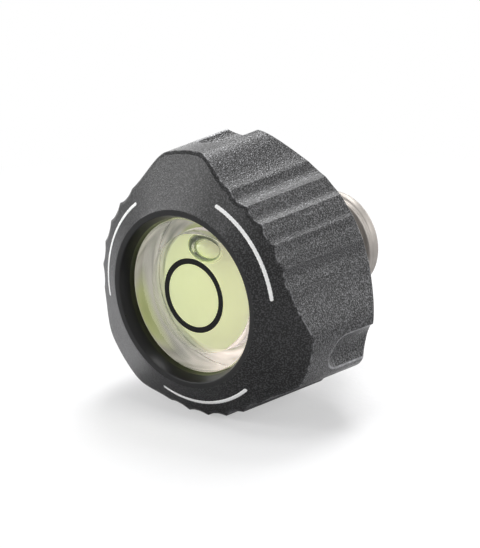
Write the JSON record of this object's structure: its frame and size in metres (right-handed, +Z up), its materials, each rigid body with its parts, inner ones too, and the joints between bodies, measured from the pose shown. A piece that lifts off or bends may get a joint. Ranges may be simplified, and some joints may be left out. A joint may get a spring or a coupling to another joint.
{
  "type": "camera bubble level",
  "caption": "Screw-in spirit level for camera gear: a lobed, fluted thumb knob with a round green bubble vial in its face and a threaded steel stud behind.",
  "frame": {"origin": "middle of the underside of the object's box, on the table that the level lies on", "axes": "+Y along the level's own axis, from the vial to the stud; +Z up as the level lies on two ridges of its grip; the vial looks along -Y"},
  "size_m": [0.0254, 0.0228, 0.0255],
  "materials": {
    "black_anodised": "bead-blasted, black anodised",
    "polished_steel": "turned and polished",
    "adhesive": "soft, matt",
    "white_plastic": "moulded, satin",
    "clear_acrylic": "moulded, polished",
    "black_enamel": "printed, gloss",
    "green_spirit": "clear liquid",
    "air": "clear"
  },
  "bodies": {
    "level": {"knob_body": "black_anodised", "threaded_stud": "polished_steel", "adhesive_pad": "adhesive", "vial_base": "white_plastic", "vial_body": "clear_acrylic", "target_ring": "black_enamel"},
    "fluid": {"spirit_liquid": "green_spirit"},
    "bubble": {"air_bubble": "air"}
  },
  "joints": [
    {"name": "bubble_orbit", "type": "hinge", "parent": "level", "child": "fluid", "pos_m": [-0.00081, -0.0069, 0.01184], "axis": [0, 1, 0], "continuous": true},
    {"name": "bubble_travel", "type": "slide", "parent": "fluid", "child": "bubble", "axis": [0, -0.0357, -0.9994], "range_m": [0, 0.0042], "stiffness_N_per_m": 0.5, "springref_m": -0.001, "deforming": ["spirit_liquid"]}
  ]
}
